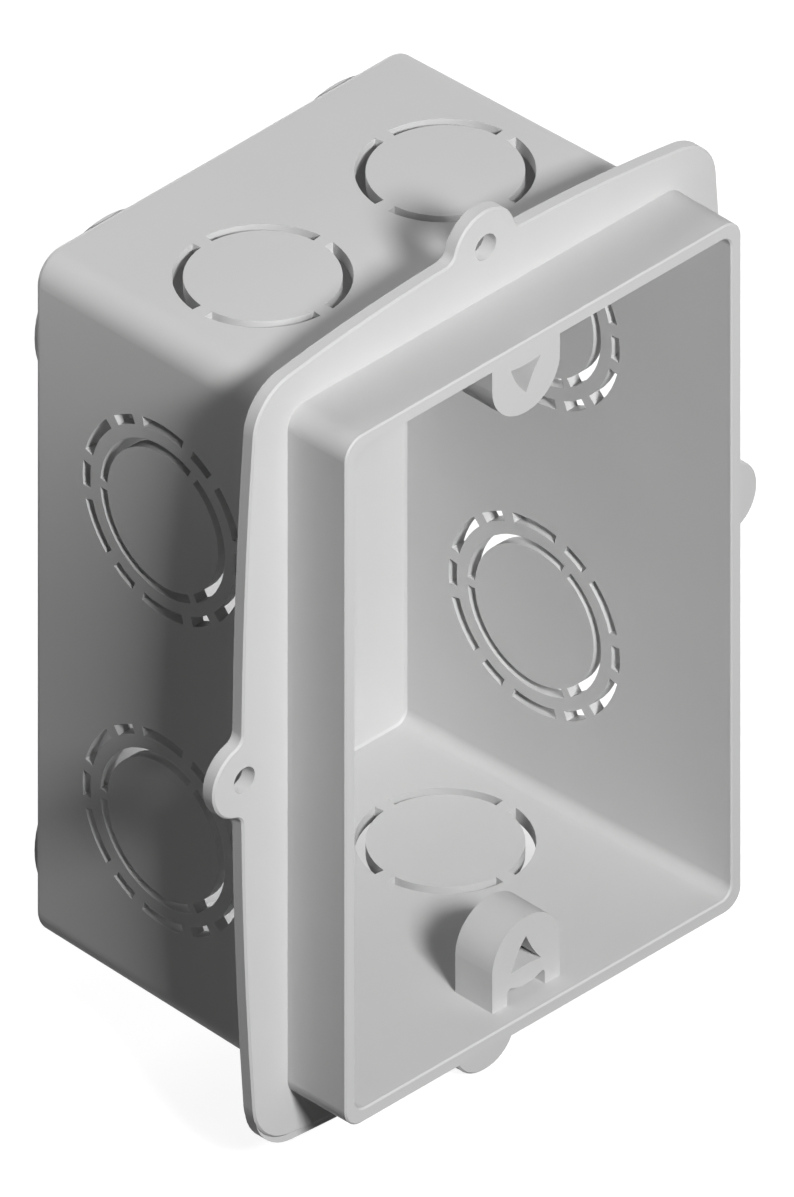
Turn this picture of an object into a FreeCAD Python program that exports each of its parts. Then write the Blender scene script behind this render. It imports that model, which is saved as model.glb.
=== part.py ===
import FreeCAD, Part
import Sketcher
import math
import os

# One-gang plastic switch box, moulded in one piece.
# The frame: +Z up, -Y out of the open front, +X to the right of someone facing the front.
# The origin is the middle of the four ear holes, on the front face of the flange.
# A collar stands forward of the flange and the box itself hangs behind it.
# All lengths are millimetres and all angles are degrees.

NODE = "switch_box"

# Driving sizes, one line each: name and value.
SIZES = {
    # Opening and the rim around it
    "opening_width": 62.2,
    "screw_spacing": 83.5,
    "screw_inset": 5.55,
    "rim_side_wall": 1.65,
    "rim_end_wall": 1.95,
    "collar_depth": 9.6,
    "collar_radius": 2.8,
    "rim_bevel": 0.2,
    # Flange with bowed sides and four ears
    "flange_thickness": 2.0,
    "flange_reach": 7.4,
    "side_bow": 2.3,
    "top_bow": 3.35,
    "foot_bow": 2.9,
    "flange_radius": 6.8,
    "flange_bevel": 0.25,
    "lip_setback": 0.4,
    "lip_reach": 0.35,
    "lip_bow": 1.85,
    "ear_radius": 5.1,
    "ear_inset": 0.25,
    "ear_blend": 1.6,
    "ear_hole": 3.5,
    # Box behind the flange
    "body_depth": 41.45,
    "side_step": 0.57,
    "end_step": 0.05,
    "side_draft": 1.55,
    "end_draft": 0.7,
    "body_radius": 3.9,
    "back_edge_radius": 0.8,
    "root_radius": 1.7,
    # Walls at the back of the cavity
    "side_wall": 2.1,
    "end_wall": 1.8,
    "back_wall": 1.3,
    "cavity_radius": 1.7,
    "cavity_floor_bevel": 0.25,
    # Pads and channel on the back
    "pad_radius": 11.6,
    "pad_inset": 12.0,
    "pad_height": 0.5,
    "channel_width": 13.6,
    "channel_depth": 0.4,
    # Knockouts in the two ends
    "end_knockout_spacing": 30.2,
    "end_ring_radius": 10.65,
    "end_slot_width": 1.3,
    "end_bridge": 1.8,
    "end_slots": 4,
    "knockout_forward": 0.98,
    # Double knockouts in the two sides
    "side_knockout_spacing": 44.4,
    "outer_ring_radius": 13.6,
    "outer_slot_width": 1.3,
    "outer_slot_pairs": 6,
    "long_slot_angle": 30.0,
    "short_slot_angle": 15.0,
    "inner_ring_radius": 10.6,
    "inner_slot_width": 1.18,
    "inner_slots": 3,
    "inner_bridge_angle": 6.5,
    # Lugs for the screws of the switch
    "lug_setback": 2.9,
    "lug_depth": 6.1,
    "lug_radius": 5.6,
    "leg_width": 2.5,
    "gap_offset": 4.0,
    "gap_bow": 0.9,
    "gap_corner_radius": 0.5,
    "lobe_radius": 2.85,
    "lobe_bow": 0.2,
    "lobe_bulge": 0.3,
}

# Sizes that follow from the driving ones.
DERIVED = {
    "opening_height": "sizes.screw_spacing + 2 * sizes.screw_inset",
    "collar_width": "sizes.opening_width + 2 * sizes.rim_side_wall",
    "collar_height": "derived.opening_height + 2 * sizes.rim_end_wall",
    "flange_half_width": "derived.collar_width / 2 + sizes.flange_reach",
    "flange_half_height": "derived.collar_height / 2 + sizes.flange_reach",
    "corner_x": "derived.flange_half_width - sizes.side_bow",
    "top_z": "derived.flange_half_height - sizes.top_bow",
    "foot_z": "derived.flange_half_height - sizes.foot_bow",
    "side_bow_radius": "(derived.top_z ^ 2 + sizes.side_bow ^ 2) / (2 * sizes.side_bow)",
    "top_bow_radius": "(derived.corner_x ^ 2 + sizes.top_bow ^ 2) / (2 * sizes.top_bow)",
    "foot_bow_radius": "(derived.corner_x ^ 2 + sizes.foot_bow ^ 2) / (2 * sizes.foot_bow)",
    "lip_bow_radius": "(derived.corner_x ^ 2 + sizes.lip_bow ^ 2) / (2 * sizes.lip_bow)",
    "lip_bow_z": "derived.lip_bow_radius - derived.flange_half_height - sizes.lip_reach",
    "lip_top_z": "derived.foot_z - 2 * sizes.flange_radius",
    "ear_x": "derived.flange_half_width - sizes.ear_inset",
    "ear_z": "derived.flange_half_height - sizes.ear_inset",
    "root_width": "derived.collar_width - 2 * sizes.side_step",
    "root_height": "derived.collar_height - 2 * sizes.end_step",
    "back_width": "derived.root_width - 2 * sizes.body_depth * tan(sizes.side_draft)",
    "back_height": "derived.root_height - 2 * sizes.body_depth * tan(sizes.end_draft)",
    "back_y": "sizes.flange_thickness + sizes.body_depth",
    "cavity_back_y": "derived.back_y - sizes.back_wall",
    "cavity_back_width": "derived.back_width - 2 * sizes.side_wall",
    "cavity_back_height": "derived.back_height - 2 * sizes.end_wall",
    "pad_x": "derived.back_width / 2 - sizes.pad_inset",
    "pad_z": "derived.back_height / 2 - sizes.pad_inset",
    "knockout_y": "sizes.flange_thickness + sizes.body_depth / 2 - sizes.knockout_forward",
    "end_disc_radius": "sizes.end_ring_radius - sizes.end_slot_width",
    "end_slot_start": "asin(sizes.end_bridge / 2 / derived.end_disc_radius) / 1 deg",
    "end_slot_end": "360 / sizes.end_slots - derived.end_slot_start",
    "outer_disc_radius": "sizes.outer_ring_radius - sizes.outer_slot_width",
    "short_slot_start": "-sizes.short_slot_angle / 2",
    "short_slot_end": "sizes.short_slot_angle / 2",
    "long_slot_start": "180 / sizes.outer_slot_pairs - sizes.long_slot_angle / 2",
    "long_slot_end": "180 / sizes.outer_slot_pairs + sizes.long_slot_angle / 2",
    "inner_disc_radius": "sizes.inner_ring_radius - sizes.inner_slot_width",
    "inner_slot_start": "sizes.inner_bridge_angle / 2",
    "inner_slot_end": "360 / sizes.inner_slots - sizes.inner_bridge_angle / 2",
    "lug_y": "sizes.lug_setback - sizes.collar_depth",
    "screw_z": "-sizes.screw_spacing / 2",
    "lug_foot_z": "-(derived.opening_height + sizes.rim_end_wall) / 2",
    "gap_half_width": "sizes.lug_radius - sizes.leg_width",
    "gap_bow_radius": "(derived.gap_half_width ^ 2 + sizes.gap_bow ^ 2) / (2 * sizes.gap_bow)",
    "gap_bow_z": "derived.screw_z - sizes.gap_offset + derived.gap_bow_radius",
    "lobe_half_side": "sizes.lobe_radius * sin(60)",
    "lobe_top_z": "derived.screw_z + sizes.lobe_radius",
    "lobe_foot_z": "derived.screw_z - sizes.lobe_radius / 2",
    "lobe_bow_radius": "(derived.lobe_half_side ^ 2 + sizes.lobe_bow ^ 2) / (2 * sizes.lobe_bow)",
    "lobe_bulge_radius": "(derived.lobe_half_side ^ 2 + sizes.lobe_bulge ^ 2) / (2 * sizes.lobe_bulge)",
}

DOC = FreeCAD.newDocument("switch_box_model")


# Sheets

def make_sheet(name, cells):
    """Fill a sheet with one named cell per row."""
    sheet = DOC.addObject("Spreadsheet::Sheet", name)
    for row, (alias, content) in enumerate(cells.items(), start=1):
        sheet.set(f"A{row}", alias)
        sheet.set(f"B{row}", content)
        sheet.setAlias(f"B{row}", alias)
    DOC.recompute()
    return sheet


SIZE_SHEET = make_sheet("sizes", {name: str(value) for name, value in SIZES.items()})
DERIVED_SHEET = make_sheet("derived", {name: f"={formula}" for name, formula in DERIVED.items()})


def size(name):
    """The present value of a driving or derived size."""
    sheet = SIZE_SHEET if name in SIZES else DERIVED_SHEET
    return float(sheet.get(name))


def cell(name):
    """The expression that reads a size from its sheet."""
    return f"sizes.{name}" if name in SIZES else f"derived.{name}"


# Sketches

BODY = DOC.addObject("PartDesign::Body", NODE)
BODY.Label = NODE


def origin_plane(role):
    """One of the three planes of the body's own origin."""
    for feature in BODY.Origin.OriginFeatures:
        if feature.Role == role:
            return feature
    raise ValueError(f"no origin plane {role}")


def new_sketch(name, role, offset=None):
    """A sketch on an origin plane, shifted by expressions for its own x, y and z."""
    sketch = BODY.newObject("Sketcher::SketchObject", name)
    sketch.AttachmentSupport = [(origin_plane(role), "")]
    sketch.MapMode = "FlatFace"
    for axis, expression in (offset or {}).items():
        sketch.setExpression(f".AttachmentOffset.Base.{axis}", expression)
    return sketch


def drive(sketch, name, expression, *constraint):
    """Add a dimension and bind it to an expression."""
    index = sketch.addConstraint(Sketcher.Constraint(*constraint))
    sketch.renameConstraint(index, name)
    sketch.setExpression(f"Constraints.{name}", expression)


def point(x, y):
    """A point in a sketch's own plane."""
    return FreeCAD.Vector(x, y, 0)


def line(sketch, start, end):
    """A straight side between two points."""
    return sketch.addGeometry(Part.LineSegment(point(*start), point(*end)))


def arc(sketch, start, middle, end):
    """A round side through three points. Its own start is where it begins counter-clockwise."""
    return sketch.addGeometry(Part.Arc(point(*start), point(*middle), point(*end)))


def join(sketch, first, first_end, second, second_end):
    """Make two ends meet."""
    sketch.addConstraint(Sketcher.Constraint("Coincident", first, first_end, second, second_end))


# Names for the places on a sketch's curves, and for its own axes
START, END, CENTRE = range(1, 4)
X_AXIS, Y_AXIS = (-1, -2)
ORIGIN = (X_AXIS, START)


def centred_rectangle(sketch, width, height):
    """A rectangle about the sketch's origin."""
    half_x = size(width) / 2
    half_y = size(height) / 2
    corners = [(-half_x, -half_y), (half_x, -half_y), (half_x, half_y), (-half_x, half_y)]
    sides = [line(sketch, corners[i], corners[(i + 1) % 4]) for i in range(4)]
    for i in range(4):
        join(sketch, sides[i], END, sides[(i + 1) % 4], START)
    for i in (0, 2):
        sketch.addConstraint(Sketcher.Constraint("Horizontal", sides[i]))
        sketch.addConstraint(Sketcher.Constraint("Vertical", sides[i + 1]))
    sketch.addConstraint(Sketcher.Constraint("Symmetric", sides[0], START, sides[2], START, *ORIGIN))
    drive(sketch, "width", cell(width), "DistanceX", sides[0], START, sides[0], END, 2 * half_x)
    drive(sketch, "height", cell(height), "DistanceY", sides[1], START, sides[1], END, 2 * half_y)


def add_circle(sketch, name, radius, x_place, y_place):
    """A circle whose centre is given by signed expressions."""
    (x_sign, x_name), (y_sign, y_name) = x_place, y_place
    x = x_sign * size(x_name) if x_name else 0.0
    y = y_sign * size(y_name) if y_name else 0.0
    circle = sketch.addGeometry(Part.Circle(point(x, y), point(0, 0) + FreeCAD.Vector(0, 0, 1), 1.0))
    drive(sketch, f"{name}_radius", radius, "Radius", circle, 1.0)
    place_point(sketch, f"{name}_x", circle, CENTRE, "X", x, x_sign, x_name)
    place_point(sketch, f"{name}_y", circle, CENTRE, "Y", y, y_sign, y_name)


def place_point(sketch, name, shape, end, axis, value, sign, size_name):
    """Hold one coordinate of a point at a signed size, or on the axis if no size is named."""
    if size_name:
        drive(sketch, name, f"{sign} * {cell(size_name)}",
              f"Distance{axis}", *ORIGIN, shape, end, value)
    else:
        axis_line = Y_AXIS if axis == "X" else X_AXIS
        sketch.addConstraint(Sketcher.Constraint("PointOnObject", shape, end, axis_line))


def ring_slot(sketch, name, outer, inner, start, end):
    """A curved slot about the sketch's origin with radial ends."""
    radii = (size(outer), size(inner))
    angles = [math.radians(size(angle)) for angle in (start, end)]
    middle = sum(angles) / 2

    def at(radius, angle):
        return (radius * math.cos(angle), radius * math.sin(angle))

    curves = [arc(sketch, at(radius, angles[0]), at(radius, middle), at(radius, angles[1]))
              for radius in radii]
    ends = [line(sketch, at(radii[1], angle), at(radii[0], angle)) for angle in angles]
    for curve, radius, value in zip(curves, (outer, inner), radii):
        join(sketch, curve, CENTRE, *ORIGIN)
        drive(sketch, f"{name}_{radius}", cell(radius), "Radius", curve, value)
    for side, curve_end, angle, value in zip(ends, (START, END), (start, end), angles):
        join(sketch, side, START, curves[1], curve_end)
        join(sketch, side, END, curves[0], curve_end)
        sketch.addConstraint(Sketcher.Constraint("PointOnObject", *ORIGIN, side))
        drive(sketch, f"{name}_{angle}", f"{cell(angle)} * 1 deg", "Angle", side, value)


# Features

def add_feature(kind, name, **properties):
    """A body feature with its plain properties set."""
    feature = BODY.newObject(kind, name)
    for key, value in properties.items():
        setattr(feature, key, value)
    return feature


def pad(name, sketch, length, reverse):
    """Raise a sketch by a length, forward of its plane unless it is reversed."""
    feature = add_feature("PartDesign::Pad", name, Profile=sketch, Reversed=reverse)
    feature.setExpression("Length", length)
    DOC.recompute()
    return feature


def pocket(name, sketch, both_ways):
    """Cut a sketch through everything, and compare volumes to see that it cuts."""
    before = BODY.Tip.Shape.Volume
    feature = add_feature("PartDesign::Pocket", name, Profile=sketch, Type="ThroughAll", Midplane=both_ways)
    DOC.recompute()
    if feature.Shape.Volume >= before:
        raise RuntimeError(f"{name} cuts nothing")
    return feature


def edge_names(feature, wanted):
    """Names of the edges of a feature that a test picks."""
    names = []
    for index, edge in enumerate(feature.Shape.Edges, start=1):
        if wanted(edge):
            names.append(f"Edge{index}")
    if not names:
        raise RuntimeError(f"no edge found on {feature.Name}")
    return names


def drafted_box(kind, name, front, back):
    """A box about the y axis that narrows from one width and height to another."""
    feature = add_feature(kind, name)
    for suffix, (y, width, height) in (("", front), ("2", back)):
        feature.setExpression(f"X{suffix}min", f"-{width} / 2")
        feature.setExpression(f"X{suffix}max", f"{width} / 2")
        feature.setExpression(f"Z{suffix}min", f"-{height} / 2")
        feature.setExpression(f"Z{suffix}max", f"{height} / 2")
        feature.setExpression("Ymax" if suffix else "Ymin", y)
    DOC.recompute()
    return feature


def dress_edges(kind, name, measure, amount, wanted):
    """Round or bevel the picked edges of the body so far."""
    base = BODY.Tip
    names = edge_names(base, wanted)
    feature = add_feature(kind, name, Base=(base, names))
    feature.setExpression(measure, cell(amount))
    DOC.recompute()
    return feature


def round_edges(name, radius, wanted):
    """Give the picked edges a radius."""
    return dress_edges("PartDesign::Fillet", name, "Radius", radius, wanted)


def bevel_edges(name, width, wanted):
    """Take the picked edges off at 45 degrees."""
    return dress_edges("PartDesign::Chamfer", name, "Size", width, wanted)


def repeat(name, original, sketch, count, mirror):
    """Repeat a cut round its sketch's origin, then on the other side of a plane of the body."""
    before = original.Shape.Volume
    repeats = add_feature("PartDesign::MultiTransform", name, Originals=[original])
    turned = add_feature("PartDesign::PolarPattern", f"{name}_turned", Axis=(sketch, ["N_Axis"]), Angle=360)
    turned.setExpression("Occurrences", cell(count))
    plane = (origin_plane(mirror), [""])
    mirrored = add_feature("PartDesign::Mirrored", f"{name}_mirrored", MirrorPlane=plane)
    repeats.Transformations = [turned, mirrored]
    BODY.Tip = repeats
    DOC.recompute()
    if repeats.Shape.Volume >= before:
        raise RuntimeError(f"{name} repeats nothing")
    return repeats


TOUCH = 0.01


def spans(edge, low, high):
    """Whether an edge runs from one y to another."""
    box = edge.BoundBox
    return abs(box.YMin - low) < TOUCH and abs(box.YMax - high) < TOUCH


def lies_at(edge, y):
    """Whether an edge lies in one plane across y."""
    return spans(edge, y, y)


# Box behind the flange: four drafted walls and rounded corners

def make_block():
    """The solid outside form of the box, from the flange to the back."""
    drafted_box("PartDesign::AdditiveWedge", "block",
                ("sizes.flange_thickness", "derived.root_width", "derived.root_height"),
                ("derived.back_y", "derived.back_width", "derived.back_height"))
    root_y = size("flange_thickness")
    back_y = size("back_y")
    round_edges("block_corners", "body_radius", lambda edge: spans(edge, root_y, back_y))
    round_edges("back_edge", "back_edge_radius", lambda edge: lies_at(edge, back_y))


def make_back_pads():
    """Four low round pads near the corners of the back."""
    sketch = new_sketch("pad_circles", "XZ_Plane", {"z": "-(derived.back_y - sizes.back_edge_radius)"})
    for index, (x_sign, z_sign) in enumerate(((-1, -1), (1, -1), (1, 1), (-1, 1)), start=1):
        add_circle(sketch, f"pad_{index}", "sizes.pad_radius", (x_sign, "pad_x"), (z_sign, "pad_z"))
    pad("back_pads", sketch, "sizes.back_edge_radius + sizes.pad_height", reverse=True)


def make_back_channel():
    """A shallow channel up the middle of the back."""
    sketch = new_sketch("channel_outline", "XZ_Plane", {"z": "-(derived.back_y - sizes.channel_depth)"})
    centred_rectangle(sketch, "channel_width", "root_height")
    pocket("back_channel", sketch, both_ways=False)


# Flange: bowed plate with an ear in the middle of each side

def make_flange():
    """The plate between the collar and the box."""
    corner_x = size("corner_x")
    top_z = size("top_z")
    foot_z = size("foot_z")
    reach_x = size("flange_half_width")
    reach_z = size("flange_half_height")
    sketch = new_sketch("flange_outline", "XZ_Plane")
    bottom = arc(sketch, (-corner_x, -foot_z), (0, -reach_z), (corner_x, -foot_z))
    right = arc(sketch, (corner_x, -foot_z), (reach_x, 0), (corner_x, top_z))
    top = arc(sketch, (corner_x, top_z), (0, reach_z), (-corner_x, top_z))
    left = arc(sketch, (-corner_x, top_z), (-reach_x, 0), (-corner_x, -foot_z))
    sides = (bottom, right, top, left)
    for index, side in enumerate(sides):
        join(sketch, side, END, sides[(index + 1) % 4], START)
    for index, (side, x_sign, z_sign, end_z) in enumerate(
            ((bottom, -1, -1, "foot_z"), (right, 1, -1, "foot_z"), (top, 1, 1, "top_z"),
             (left, -1, 1, "top_z")), start=1):
        place_point(sketch, f"corner_{index}_x", side, START, "X", x_sign * corner_x, x_sign, "corner_x")
        place_point(sketch, f"corner_{index}_z", side, START, "Y", z_sign * size(end_z), z_sign, end_z)
    for name, side, radius in (("bottom", bottom, "foot_bow_radius"), ("right", right, "side_bow_radius"),
                               ("top", top, "top_bow_radius"), ("left", left, "side_bow_radius")):
        drive(sketch, f"{name}_bow", cell(radius), "Radius", side, size(radius))
    pad("flange", sketch, "sizes.flange_thickness", reverse=True)
    plate_y = size("flange_thickness")
    beyond = size("collar_width") / 2
    round_edges("flange_corners", "flange_radius",
                lambda edge: spans(edge, 0, plate_y) and abs(edge.BoundBox.XMin) > beyond)


def make_lip():
    """A lip along the lower side of the flange, set back from its front, that stands out round the corners."""
    side_x = size("corner_x")
    radius = size("flange_radius")
    bow = size("lip_bow_radius")
    bow_z = size("lip_bow_z")
    round_x = side_x - radius
    round_z = bow_z - math.sqrt((bow - radius) ** 2 - round_x ** 2)
    slope = math.atan2(bow_z - round_z, round_x)
    bisector = (math.pi + slope) / 2
    bend_x = radius * math.cos(slope)
    bend_z = radius * math.sin(slope)
    turn_x = -radius * math.cos(bisector)
    turn_z = radius * math.sin(bisector)
    top_z = -size("lip_top_z")
    sketch = new_sketch("lip_outline", "XZ_Plane", {"z": "-sizes.lip_setback"})
    left = line(sketch, (-side_x, top_z), (-side_x, round_z))
    left_round = arc(sketch, (-side_x, round_z), (-round_x - turn_x, round_z - turn_z),
                     (-round_x - bend_x, round_z - bend_z))
    bottom = arc(sketch, (-round_x - bend_x, round_z - bend_z), (0, bow_z - bow),
                 (round_x + bend_x, round_z - bend_z))
    right_round = arc(sketch, (round_x + bend_x, round_z - bend_z), (round_x + turn_x, round_z - turn_z),
                      (side_x, round_z))
    right = line(sketch, (side_x, round_z), (side_x, top_z))
    top = line(sketch, (side_x, top_z), (-side_x, top_z))
    join(sketch, right, END, top, START)
    join(sketch, top, END, left, START)
    sides = (left, left_round, bottom, right_round, right)
    for first, second in zip(sides, sides[1:]):
        sketch.addConstraint(Sketcher.Constraint("Tangent", first, END, second, START))
    sketch.addConstraint(Sketcher.Constraint("Vertical", left))
    sketch.addConstraint(Sketcher.Constraint("Vertical", right))
    place_point(sketch, "left_x", left, START, "X", -side_x, -1, "corner_x")
    place_point(sketch, "left_z", left, START, "Y", top_z, -1, "lip_top_z")
    place_point(sketch, "right_x", right, END, "X", side_x, 1, "corner_x")
    place_point(sketch, "right_z", right, END, "Y", top_z, -1, "lip_top_z")
    drive(sketch, "left_radius", cell("flange_radius"), "Radius", left_round, radius)
    drive(sketch, "right_radius", cell("flange_radius"), "Radius", right_round, radius)
    drive(sketch, "bow", cell("lip_bow_radius"), "Radius", bottom, bow)
    place_point(sketch, "bow_z", bottom, CENTRE, "Y", bow_z, 1, "lip_bow_z")
    pad("lip", sketch, "sizes.flange_thickness - sizes.lip_setback", reverse=True)


def make_ears():
    """Four round ears on the flange, blended into its sides and drilled."""
    discs = new_sketch("ear_discs", "XZ_Plane")
    holes = new_sketch("ear_holes", "XZ_Plane")
    for name, x_place, z_place in (("left", (-1, "ear_x"), (1, None)), ("right", (1, "ear_x"), (1, None)),
                                   ("bottom", (1, None), (-1, "ear_z")), ("top", (1, None), (1, "ear_z"))):
        add_circle(discs, name, "sizes.ear_radius", x_place, z_place)
        add_circle(holes, name, "sizes.ear_hole / 2", x_place, z_place)
    pad("ears", discs, "sizes.flange_thickness", reverse=True)
    plate_y = size("flange_thickness")

    def beside_ear(edge):
        """Short edges across the flange where an ear meets a bowed side."""
        if not spans(edge, 0, plate_y) or edge.BoundBox.DiagonalLength > plate_y + TOUCH:
            return False
        x = abs(edge.BoundBox.XMin)
        z = abs(edge.BoundBox.ZMin)
        near_side = abs(math.hypot(x - size("ear_x"), z) - size("ear_radius")) < TOUCH
        near_end = abs(math.hypot(x, z - size("ear_z")) - size("ear_radius")) < TOUCH
        return near_side or near_end

    round_edges("ear_blends", "ear_blend", beside_ear)
    edge_reach = size("ear_radius") + size("flange_reach")

    def on_outline(edge):
        """Edges of the outline of the flange, on its front and back."""
        if not (lies_at(edge, 0) or lies_at(edge, plate_y)):
            return False
        middle = edge.valueAt((edge.FirstParameter + edge.LastParameter) / 2)
        outside_x = abs(middle.x) > size("collar_width") / 2 + size("root_radius")
        outside_z = abs(middle.z) > size("collar_height") / 2 + size("root_radius")
        return (outside_x or outside_z) and edge.Length > edge_reach / 100

    bevel_edges("flange_edges", "flange_bevel", on_outline)
    make_lip()
    pocket("ear_drillings", holes, both_ways=False)
    root_x = size("root_width") / 2 + TOUCH
    root_z = size("root_height") / 2 + TOUCH

    def in_root(edge):
        """Edges where the box meets the back of the flange."""
        box = edge.BoundBox
        inside = max(abs(box.XMin), abs(box.XMax)) < root_x and max(abs(box.ZMin), abs(box.ZMax)) < root_z
        return inside and lies_at(edge, plate_y)

    round_edges("root_fillet", "root_radius", in_root)


# Collar in front of the flange

def make_collar():
    """The solid outside form of the collar."""
    sketch = new_sketch("collar_outline", "XZ_Plane")
    centred_rectangle(sketch, "collar_width", "collar_height")
    pad("collar", sketch, "sizes.collar_depth", reverse=False)
    rim_y = -size("collar_depth")
    round_edges("collar_corners", "collar_radius", lambda edge: spans(edge, rim_y, 0))


# Cavity: one drafted pocket from the rim to the back wall

def make_cavity():
    """The hollow, with its corners rounded, and the edges of its floor and of the rim bevelled."""
    drafted_box("PartDesign::SubtractiveWedge", "cavity",
                ("-sizes.collar_depth", "sizes.opening_width", "derived.opening_height"),
                ("derived.cavity_back_y", "derived.cavity_back_width", "derived.cavity_back_height"))
    rim_y = -size("collar_depth")
    back_y = size("cavity_back_y")
    round_edges("cavity_corners", "cavity_radius", lambda edge: spans(edge, rim_y, back_y))
    bevel_edges("cavity_floor", "cavity_floor_bevel", lambda edge: lies_at(edge, back_y))
    bevel_edges("rim_edges", "rim_bevel", lambda edge: lies_at(edge, rim_y))


# Knockouts: discs held in the walls by narrow bridges between slots

def make_end_knockouts():
    """Two knockouts in the top and two in the bottom, cut straight through both."""
    place = {"x": "sizes.end_knockout_spacing / 2", "y": "derived.knockout_y"}
    sketch = new_sketch("end_slot", "XY_Plane", place)
    ring_slot(sketch, "slot", "end_ring_radius", "end_disc_radius", "end_slot_start", "end_slot_end")
    cut = pocket("end_slot_cut", sketch, both_ways=True)
    repeat("end_knockouts", cut, sketch, "end_slots", "YZ_Plane")


def make_side_knockouts():
    """Two double knockouts in each side, a disc within a ring, cut straight through both sides."""
    place = {"x": "derived.knockout_y", "y": "sizes.side_knockout_spacing / 2"}
    outer = new_sketch("outer_slots", "YZ_Plane", place)
    for name in ("short", "long"):
        ring_slot(outer, name, "outer_ring_radius", "outer_disc_radius",
                  f"{name}_slot_start", f"{name}_slot_end")
    outer_cut = pocket("outer_slots_cut", outer, both_ways=True)
    repeat("outer_knockouts", outer_cut, outer, "outer_slot_pairs", "XY_Plane")
    inner = new_sketch("inner_slot", "YZ_Plane", place)
    ring_slot(inner, "slot", "inner_ring_radius", "inner_disc_radius", "inner_slot_start", "inner_slot_end")
    inner_cut = pocket("inner_slot_cut", inner, both_ways=True)
    repeat("inner_knockouts", inner_cut, inner, "inner_slots", "XY_Plane")


# Lugs: an arch on two legs at each end of the opening, with a three-lobed hole for a screw

def lobed_hole(sketch):
    """Three points joined by bowed sides, with one point towards the middle of the opening."""
    places = (("lobe_half_side", -1, "lobe_foot_z"),
              ("lobe_half_side", 1, "lobe_foot_z"),
              (None, 1, "lobe_top_z"))
    bows = (("lobe_bow", -1), ("lobe_bow", -1), ("lobe_bulge", 1))
    points = [(sign * size(across) if across else 0.0, size(up)) for across, sign, up in places]
    middle_z = size("screw_z")
    sides = []
    for index, (bow, way) in enumerate(bows):
        start = points[index]
        end = points[(index + 1) % 3]
        reach = size("lobe_radius") / 2 + way * size(bow)
        turn = math.atan2((start[1] + end[1]) / 2 - middle_z, (start[0] + end[0]) / 2)
        bowed = (reach * math.cos(turn), middle_z + reach * math.sin(turn))
        if way > 0:
            sides.append((arc(sketch, start, bowed, end), START, END))
        else:
            sides.append((arc(sketch, end, bowed, start), END, START))
    for index, (side, side_start, side_end) in enumerate(sides):
        following, following_start, _ = sides[(index + 1) % 3]
        across, sign, up = places[index]
        radius = f"{bows[index][0]}_radius"
        join(sketch, side, side_end, following, following_start)
        place_point(sketch, f"lobe_{index}_x", side, side_start, "X", points[index][0], sign, across)
        place_point(sketch, f"lobe_{index}_z", side, side_start, "Y", points[index][1], 1, up)
        drive(sketch, f"lobe_{index}_radius", cell(radius), "Radius", side, size(radius))


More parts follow.
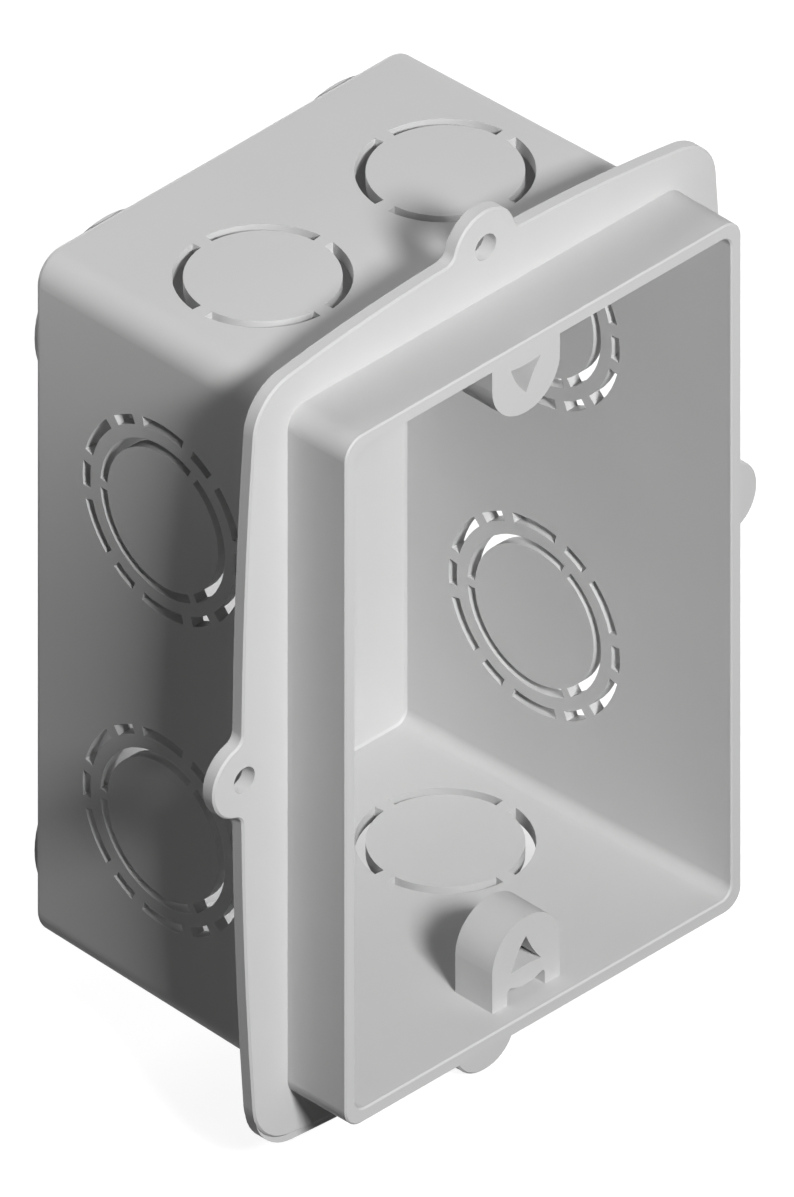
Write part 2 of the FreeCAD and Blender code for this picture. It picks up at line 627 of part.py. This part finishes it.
def lug_outline(sketch):
    """The arch, its two legs and the gap between them."""
    reach = size("lug_radius")
    gap = size("gap_half_width")
    corner = size("gap_corner_radius")
    bow = size("gap_bow_radius")
    bow_z = size("gap_bow_z")
    foot = size("lug_foot_z")
    screw_z = size("screw_z")
    corner_x = gap - corner
    corner_z = bow_z - math.sqrt((bow + corner) ** 2 - corner_x ** 2)
    share = bow / (bow + corner)
    touch_x = corner_x * share
    touch_z = bow_z + (corner_z - bow_z) * share
    turn = math.atan2(touch_z - corner_z, corner_x - touch_x)
    half_turn = turn / 2
    knee = (corner_x + corner * math.cos(half_turn), corner_z + corner * math.sin(half_turn))
    arch = arc(sketch, (reach, screw_z), (0, screw_z + reach), (-reach, screw_z))
    left_side = line(sketch, (-reach, screw_z), (-reach, foot))
    left_foot = line(sketch, (-reach, foot), (-gap, foot))
    left_inner = line(sketch, (-gap, foot), (-gap, corner_z))
    left_corner = arc(sketch, (-touch_x, touch_z), (-knee[0], knee[1]), (-gap, corner_z))
    ring = arc(sketch, (-touch_x, touch_z), (0, bow_z - bow), (touch_x, touch_z))
    right_corner = arc(sketch, (gap, corner_z), knee, (touch_x, touch_z))
    right_inner = line(sketch, (gap, corner_z), (gap, foot))
    right_foot = line(sketch, (gap, foot), (reach, foot))
    right_side = line(sketch, (reach, foot), (reach, screw_z))
    for first, first_end, second, second_end in (
            (left_side, END, left_foot, START), (left_foot, END, left_inner, START),
            (right_inner, END, right_foot, START), (right_foot, END, right_side, START)):
        join(sketch, first, first_end, second, second_end)
    for first, first_end, second, second_end in (
            (arch, END, left_side, START), (right_side, END, arch, START),
            (left_inner, END, left_corner, END), (left_corner, START, ring, START),
            (ring, END, right_corner, END), (right_corner, START, right_inner, START)):
        sketch.addConstraint(Sketcher.Constraint("Tangent", first, first_end, second, second_end))
    for upright in (left_side, left_inner, right_inner, right_side):
        sketch.addConstraint(Sketcher.Constraint("Vertical", upright))
    for level in (left_foot, right_foot):
        sketch.addConstraint(Sketcher.Constraint("Horizontal", level))
    place_point(sketch, "arch_x", arch, CENTRE, "X", 0, 1, None)
    place_point(sketch, "arch_z", arch, CENTRE, "Y", screw_z, 1, "screw_z")
    drive(sketch, "arch_radius", "sizes.lug_radius", "Radius", arch, reach)
    place_point(sketch, "ring_x", ring, CENTRE, "X", 0, 1, None)
    place_point(sketch, "ring_z", ring, CENTRE, "Y", bow_z, 1, "gap_bow_z")
    drive(sketch, "ring_radius", "derived.gap_bow_radius", "Radius", ring, bow)
    for name, side, side_corner, foot_line, sign in (("left", left_inner, left_corner, left_foot, -1),
                                                     ("right", right_inner, right_corner, right_foot, 1)):
        end = START if sign < 0 else END
        place_point(sketch, f"{name}_gap", side, end, "X", sign * gap, sign, "gap_half_width")
        drive(sketch, f"{name}_corner", "sizes.gap_corner_radius", "Radius", side_corner, corner)
        place_point(sketch, f"{name}_foot", foot_line, START, "Y", foot, 1, "lug_foot_z")


def make_lugs():
    """The lower lug, and its mirror image at the top."""
    sketch = new_sketch("lug_outline", "XZ_Plane", {"z": "-derived.lug_y"})
    lug_outline(sketch)
    lobed_hole(sketch)
    lug = pad("lower_lug", sketch, "sizes.lug_depth", reverse=True)
    add_feature("PartDesign::Mirrored", "upper_lug", Originals=[lug],
                MirrorPlane=(origin_plane("XY_Plane"), [""]))
    BODY.Tip = DOC.getObject("upper_lug")
    DOC.recompute()


# Finish the part

def write_step():
    """Check every object and write the one piece."""
    DOC.recompute()
    for item in DOC.Objects:
        if "Invalid" in item.State or "Error" in item.State:
            raise RuntimeError(f"{item.Name} failed: {item.State}")
    shape = BODY.Shape
    if shape.isNull() or not shape.isValid() or len(shape.Solids) != 1:
        raise RuntimeError("the box is not one valid solid")
    os.makedirs("parts", exist_ok=True)
    shape.exportStep(f"parts/{BODY.Label}.step")
    print(f"{BODY.Label}: {shape.Volume:.1f} mm3, {len(shape.Faces)} faces")


make_block()
make_back_pads()
make_back_channel()
make_flange()
make_ears()
make_collar()
make_cavity()
make_end_knockouts()
make_side_knockouts()
make_lugs()
write_step()
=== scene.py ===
import math

import bpy
from bpy.props import FloatProperty, FloatVectorProperty, PointerProperty
from bpy.types import Operator, Panel, PropertyGroup
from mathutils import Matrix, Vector


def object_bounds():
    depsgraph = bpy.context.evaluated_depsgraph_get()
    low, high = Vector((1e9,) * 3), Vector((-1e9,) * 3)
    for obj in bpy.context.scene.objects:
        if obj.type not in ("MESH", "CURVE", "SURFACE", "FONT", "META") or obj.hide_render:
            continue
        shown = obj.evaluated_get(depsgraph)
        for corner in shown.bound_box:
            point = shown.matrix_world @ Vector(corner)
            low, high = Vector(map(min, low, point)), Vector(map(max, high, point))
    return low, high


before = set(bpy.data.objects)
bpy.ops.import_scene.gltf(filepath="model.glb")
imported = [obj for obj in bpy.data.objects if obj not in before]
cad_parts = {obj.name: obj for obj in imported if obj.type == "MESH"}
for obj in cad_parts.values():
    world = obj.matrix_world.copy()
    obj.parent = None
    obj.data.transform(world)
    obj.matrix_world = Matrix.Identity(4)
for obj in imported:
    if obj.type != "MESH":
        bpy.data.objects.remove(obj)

CAD_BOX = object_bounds()

bl_info = {
    "name": "Plastic switch box",
    "version": (1, 0, 0),
    "blender": (4, 5, 0),
    "location": "View3D > Sidebar > Switch box",
    "description": "Finish, light and camera for a moulded one-gang switch box",
    "category": "Object",
}

MM = 0.001
WHITE = (1, 1, 1, 1)

# The picture's size in pixels, its scale, where the origin lies in it, and the camera's angles in degrees
PICTURE_WIDTH = 794
PICTURE_HEIGHT = 1197
PIXELS_PER_MM = 8.5512
ORIGIN_PIXEL = (485.55, 640.9)
CAMERA_AZIMUTH = -45.0
CAMERA_ELEVATION = 35.264
CAMERA_DISTANCE = 0.6

# The floor lies just below the lowest ear.
FLOOR_SIZE = 6.0
FLOOR_GAP = 0.2 * MM

# How bright the darkest cloud in the plastic is, as a share of its colour, and how far its roughness varies
CLOUDY_SHARE = 0.98
ROUGHNESS_SWING = 0.04

# A soft contact shadow painted into the floor's glow right under the box, not cast by any lamp: its middle,
# the reaches of its core and its edge, and its brightness
PAINTED_SHADOW_MIDDLE = (16 * MM, 32 * MM)
PAINTED_SHADOW_CORE = 10 * MM
PAINTED_SHADOW_EDGE = 34 * MM
PAINTED_SHADOW_LEVEL = 0.5

LAMP_DISTANCE = 0.9

# The spot's distance from the side of the box, how far it stands below the top, how far it aims behind and
# above the corner at the top of the back, its angle and its softness
SPOT_DISTANCE = 0.5
SPOT_DROP = 12 * MM
SPOT_BEHIND = 16 * MM
SPOT_ABOVE = 6 * MM
SPOT_ANGLE = 12.0
SPOT_SOFTNESS = 30 * MM


# Colours and nodes

def linear(hex_colour):
    """The linear red, green and blue of an sRGB hex colour."""
    values = []
    for start in (1, 3, 5):
        value = int(hex_colour[start:start + 2], 16) / 255
        values.append(value / 12.92 if value <= 0.04045 else ((value + 0.055) / 1.055) ** 2.4)
    return tuple(values)


def add_node(tree, kind, place, settings=None, **links):
    """Add one node, set its properties and sockets, and link the sockets that name an output."""
    node = tree.nodes.new(kind)
    node.location = place
    for key, value in (settings or {}).items():
        if hasattr(node, key):
            setattr(node, key, value)
        else:
            node.inputs[key].default_value = value
    for socket, source in links.items():
        tree.links.new(source, node.inputs[socket.replace("_", " ")])
    return node


def new_material(name):
    """An empty material with its output node."""
    material = bpy.data.materials.new(name)
    material.use_nodes = True
    material.node_tree.nodes.clear()
    output = add_node(material.node_tree, "ShaderNodeOutputMaterial", (900, 0))
    return material, material.node_tree, output


def moulded_upvc(settings):
    """Light grey rigid PVC, injection moulded in a spark-eroded tool: matt, with a fine even grain that breaks
    up most of the gloss, and a faint cloudiness where the melt flowed."""
    material, tree, output = new_material("Moulded light grey uPVC")
    place = add_node(tree, "ShaderNodeTexCoord", (-1100, 0)).outputs["Object"]
    grain = add_node(tree, "ShaderNodeTexNoise", (-800, -250),
                     {"Scale": 1 / (settings.grain_size * MM), "Detail": 2.0, "Roughness": 0.5}, Vector=place)
    flow = add_node(tree, "ShaderNodeTexNoise", (-800, 150),
                    {"Scale": 1 / (settings.flow_size * MM), "Detail": 3.0, "Roughness": 0.45}, Vector=place)
    tone = add_node(tree, "ShaderNodeValToRGB", (-500, 200), Fac=flow.outputs["Fac"])
    darker = [channel * CLOUDY_SHARE for channel in settings.plastic_colour]
    tone.color_ramp.elements[0].color = (*darker, 1)
    tone.color_ramp.elements[1].color = (*settings.plastic_colour, 1)
    tone.color_ramp.elements[0].position = 0.3
    tone.color_ramp.elements[1].position = 0.7
    shine = add_node(tree, "ShaderNodeMapRange", (-500, -50),
                     {"To Min": settings.roughness - ROUGHNESS_SWING,
                      "To Max": settings.roughness + ROUGHNESS_SWING},
                     Value=flow.outputs["Fac"])
    bump = add_node(tree, "ShaderNodeBump", (-200, -300),
                    {"Strength": 0.12, "Distance": settings.grain_depth * MM}, Height=grain.outputs["Fac"])
    plastic = add_node(tree, "ShaderNodeBsdfPrincipled", (300, 0), {"IOR": 1.5, "Specular IOR Level": 0.18},
                       Base_Color=tone.outputs["Color"], Roughness=shine.outputs["Result"],
                       Normal=bump.outputs["Normal"])
    tree.links.new(plastic.outputs["BSDF"], output.inputs["Surface"])
    return material


def floor_height():
    """The height of the floor."""
    return CAD_BOX[0].z - FLOOR_GAP


def seen_rays(tree, x):
    """1 for rays that look straight at a thing, or see it mirrored or through glass, and 0 for the rest."""
    rays = add_node(tree, "ShaderNodeLightPath", (x, 200))
    mirrored = add_node(tree, "ShaderNodeMath", (x + 200, 200), {"operation": "MAXIMUM"})
    tree.links.new(rays.outputs["Is Camera Ray"], mirrored.inputs[0])
    tree.links.new(rays.outputs["Is Glossy Ray"], mirrored.inputs[1])
    seen = add_node(tree, "ShaderNodeMath", (x + 400, 200), {"operation": "MAXIMUM"})
    tree.links.new(mirrored.outputs[0], seen.inputs[0])
    tree.links.new(rays.outputs["Is Transmission Ray"], seen.inputs[1])
    return seen.outputs[0]


def white_paper(settings):
    """Matt paper. Seen straight, or mirrored in a gloss, it is white but for the shadows of the box and a soft
    shadow painted into its glow right under the box.
    It throws little light back, so the sides of the box that face away from the lamps stay dark."""
    material, tree, output = new_material("White paper")
    paper = add_node(tree, "ShaderNodeBsdfDiffuse", (-100, 0), {"Color": (*settings.paper_colour, 1)})
    dim = add_node(tree, "ShaderNodeBsdfDiffuse", (-100, 150), {"Color": (*settings.bounce_colour, 1)})
    # Painted shadow: the glow dims smoothly from the paper's glow down to a set level near a point under the
    # box, whatever the lamps do
    place = add_node(tree, "ShaderNodeTexCoord", (-900, -300)).outputs["Object"]
    away = add_node(tree, "ShaderNodeVectorMath", (-700, -300), {"operation": "DISTANCE"})
    tree.links.new(place, away.inputs[0])
    away.inputs[1].default_value = (*PAINTED_SHADOW_MIDDLE, floor_height())
    painted_shadow = add_node(tree, "ShaderNodeMapRange", (-500, -300),
                     {"interpolation_type": "SMOOTHSTEP", "From Min": PAINTED_SHADOW_CORE, "From Max": PAINTED_SHADOW_EDGE,
                      "To Min": PAINTED_SHADOW_LEVEL, "To Max": settings.paper_glow}, Value=away.outputs["Value"])
    glow = add_node(tree, "ShaderNodeEmission", (-100, -150), {"Color": WHITE},
                    Strength=painted_shadow.outputs["Result"])
    lift = add_node(tree, "ShaderNodeAddShader", (150, -50))
    tree.links.new(paper.outputs["BSDF"], lift.inputs[0])
    tree.links.new(glow.outputs["Emission"], lift.inputs[1])
    mix = add_node(tree, "ShaderNodeMixShader", (400, 0), Fac=seen_rays(tree, -700))
    tree.links.new(dim.outputs["BSDF"], mix.inputs[1])
    tree.links.new(lift.outputs["Shader"], mix.inputs[2])
    tree.links.new(mix.outputs["Shader"], output.inputs["Surface"])
    return material


# Camera directions

def camera_axes():
    """The camera's right, up and backward directions."""
    azimuth = math.radians(CAMERA_AZIMUTH)
    elevation = math.radians(CAMERA_ELEVATION)
    right = Vector((math.cos(azimuth), math.sin(azimuth), 0))
    back = Vector((math.sin(azimuth) * math.cos(elevation), -math.cos(azimuth) * math.cos(elevation),
                   math.sin(elevation)))
    return right, back.cross(right), back


def aim(thing, target):
    """Turn a lamp or camera to face a point."""
    direction = Vector(target) - thing.location
    thing.rotation_euler = direction.to_track_quat("-Z", "Y").to_euler()


# Settings

class SwitchBoxFinish(PropertyGroup):
    plastic_colour: FloatVectorProperty(
        name="Plastic", description="Colour of the moulded plastic", subtype="COLOR",
        size=3, min=0, max=1, default=linear("#CBCBCB"))
    roughness: FloatProperty(
        name="Roughness", description="How matt the plastic is", min=0.1, max=1, default=0.6)
    grain_size: FloatProperty(
        name="Grain", description="Width of one grain of the mould's surface, in mm, as coarse as it has to "
                                  "be to show", min=0.05, max=2, default=0.25)
    grain_depth: FloatProperty(
        name="Grain depth", description="Depth of the grain, in mm", min=0, max=0.2, default=0.02)
    flow_size: FloatProperty(
        name="Flow", description="Width of the faint cloudiness left by the melt, in mm",
        min=1, max=100, default=14)


class SwitchBoxStage(PropertyGroup):
    paper_colour: FloatVectorProperty(
        name="Paper", description="Colour of the floor", subtype="COLOR",
        size=3, min=0, max=1, default=linear("#898989"))
    bounce_colour: FloatVectorProperty(
        name="Bounce", description="Colour in which the floor throws light back", subtype="COLOR",
        size=3, min=0, max=1, default=linear("#303030"))
    paper_glow: FloatProperty(
        name="Floor glow", description="How bright the floor looks where no lamp reaches it, 1 is white",
        min=0, max=1, default=0.9)
    key_power: FloatProperty(
        name="Key light", description="Power of the lamp in front", subtype="POWER", min=0, default=9.0)
    rear_power: FloatProperty(
        name="Rear light", description="Power of the lamp behind and above", subtype="POWER", min=0,
        default=3.4)
    side_power: FloatProperty(
        name="Side light", description="Power of the low lamp at the left", subtype="POWER", min=0,
        default=0.38)
    back_power: FloatProperty(
        name="Back light", description="Power of the low lamp behind, at the right", subtype="POWER", min=0,
        default=5.0)
    right_power: FloatProperty(
        name="Right light", description="Power of the low lamp at the right", subtype="POWER", min=0,
        default=2.0)
    spot_power: FloatProperty(
        name="Spot", description="Power of the small lamp on the left side", subtype="POWER", min=0,
        default=2.7)
    world_level: FloatProperty(
        name="Room", description="How much the room itself lights the box", min=0, max=2, default=0.0)


# Operators

class OBJECT_OT_finish_switch_box(Operator):
    """Give the moulded box its plastic"""
    bl_idname = "object.finish_switch_box"
    bl_label = "Finish the switch box"

    def execute(self, context):
        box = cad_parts["switch_box"]
        plastic = moulded_upvc(context.scene.switch_box_finish)
        if not box.material_slots:
            box.data.materials.append(None)
        for slot in box.material_slots:
            slot.link = "OBJECT"
            slot.material = plastic
        return {"FINISHED"}


class SCENE_OT_add_switch_box_stage(Operator):
    """Add the pale floor, the lamps and the camera"""
    bl_idname = "scene.add_switch_box_stage"
    bl_label = "Add the stage"

    def execute(self, context):
        settings = context.scene.switch_box_stage
        context.scene.view_settings.view_transform = "Standard"
        self.add_floor(settings)
        self.add_world(context.scene, settings)
        self.add_lamps(settings)
        self.add_camera(context.scene)
        return {"FINISHED"}

    def add_floor(self, settings):
        """A wide floor of white paper just below the lowest ear."""
        bpy.ops.mesh.primitive_plane_add(size=FLOOR_SIZE, location=(0, 0, floor_height()))
        floor = bpy.context.object
        floor.name = "paper_floor"
        floor.data.materials.append(white_paper(settings))
        bpy.ops.object.transform_apply(location=True, rotation=True, scale=True)

    def add_world(self, scene, settings):
        """A room that is white where it is seen, and lights the box only by the room's level."""
        world = bpy.data.worlds.new("Pale room")
        scene.world = world
        world.use_nodes = True
        tree = world.node_tree
        tree.nodes.clear()
        output = add_node(tree, "ShaderNodeOutputWorld", (400, 0))
        room = add_node(tree, "ShaderNodeBackground", (0, 0),
                        {"Color": WHITE, "Strength": settings.world_level})
        wall = add_node(tree, "ShaderNodeBackground", (0, -150), {"Color": WHITE, "Strength": 1.0})
        mix = add_node(tree, "ShaderNodeMixShader", (200, 0), Fac=seen_rays(tree, -700))
        tree.links.new(room.outputs["Background"], mix.inputs[1])
        tree.links.new(wall.outputs["Background"], mix.inputs[2])
        tree.links.new(mix.outputs["Shader"], output.inputs["Surface"])

    def add_lamps(self, settings):
        """A soft lamp in front and a little to the left, one high behind, and weaker low ones at the left,
        the right and the back.
        Each row gives a lamp's turn from the front, positive to the right, and how high it stands, both in
        degrees, then its width and height in metres."""
        low, high = CAD_BOX
        centre = (low + high) / 2
        for name, turn, height, size, power in (
                ("key_lamp", -19, 35, (0.17, 0.15), settings.key_power),
                ("rear_lamp", 175, 33, (0.3, 0.3), settings.rear_power),
                ("side_lamp", -68, 8, (0.3, 0.3), settings.side_power),
                ("right_lamp", 95, 3, (0.3, 0.3), settings.right_power),
                ("back_lamp", 150, 2, (0.4, 0.4), settings.back_power)):
            across = math.cos(math.radians(height))
            direction = Vector((math.sin(math.radians(turn)) * across, -math.cos(math.radians(turn)) * across,
                                math.sin(math.radians(height))))
            bpy.ops.object.light_add(type="AREA", location=centre + direction * LAMP_DISTANCE)
            lamp = bpy.context.object
            lamp.name = name
            lamp.data.shape = "RECTANGLE"
            lamp.data.size, lamp.data.size_y = size
            lamp.data.energy = power
            aim(lamp, centre)
        self.add_spot(settings)

    def add_spot(self, settings):
        """A soft-edged spot at the left that fades out down the side of the box."""
        low, high = CAD_BOX
        bpy.ops.object.light_add(type="SPOT", location=(low.x - SPOT_DISTANCE, high.y, high.z - SPOT_DROP))
        lamp = bpy.context.object
        lamp.name = "spot_lamp"
        lamp.data.energy = settings.spot_power
        lamp.data.spot_size = math.radians(SPOT_ANGLE)
        lamp.data.spot_blend = 1.0
        lamp.data.shadow_soft_size = SPOT_SOFTNESS
        aim(lamp, (low.x, high.y + SPOT_BEHIND, high.z + SPOT_ABOVE))

    def add_camera(self, scene):
        """A parallel view from the left, the front and above."""
        right, up, back = camera_axes()
        across = (PICTURE_WIDTH / 2 - ORIGIN_PIXEL[0]) / PIXELS_PER_MM * MM
        raised = (ORIGIN_PIXEL[1] - PICTURE_HEIGHT / 2) / PIXELS_PER_MM * MM
        target = right * across + up * raised
        bpy.ops.object.camera_add(location=target + back * CAMERA_DISTANCE)
        camera = bpy.context.object
        camera.name = "picture_camera"
        camera.data.type = "ORTHO"
        camera.data.ortho_scale = PICTURE_HEIGHT / PIXELS_PER_MM * MM
        aim(camera, target)
        scene.camera = camera


class VIEW3D_PT_switch_box(Panel):
    """Sizes, colours and steps of the switch box"""
    bl_idname = "VIEW3D_PT_switch_box"
    bl_label = "Switch box"
    bl_space_type = "VIEW_3D"
    bl_region_type = "UI"
    bl_category = "Switch box"

    def draw(self, context):
        layout = self.layout
        for settings, operators in (
                (context.scene.switch_box_finish, [OBJECT_OT_finish_switch_box]),
                (context.scene.switch_box_stage, [SCENE_OT_add_switch_box_stage])):
            box = layout.box()
            for name in settings.__annotations__:
                box.prop(settings, name)
            for operator in operators:
                box.operator(operator.bl_idname)


CLASSES = (SwitchBoxFinish, SwitchBoxStage, OBJECT_OT_finish_switch_box, SCENE_OT_add_switch_box_stage,
           VIEW3D_PT_switch_box)


def register():
    for each in CLASSES:
        bpy.utils.register_class(each)
    bpy.types.Scene.switch_box_finish = PointerProperty(type=SwitchBoxFinish)
    bpy.types.Scene.switch_box_stage = PointerProperty(type=SwitchBoxStage)


def unregister():
    del bpy.types.Scene.switch_box_stage
    del bpy.types.Scene.switch_box_finish
    for each in reversed(CLASSES):
        bpy.utils.unregister_class(each)


def main():
    """Make everything."""
    register()
    bpy.ops.object.select_all(action="DESELECT")
    bpy.ops.object.finish_switch_box()
    bpy.ops.scene.add_switch_box_stage()


if __name__ == "__main__":
    main()
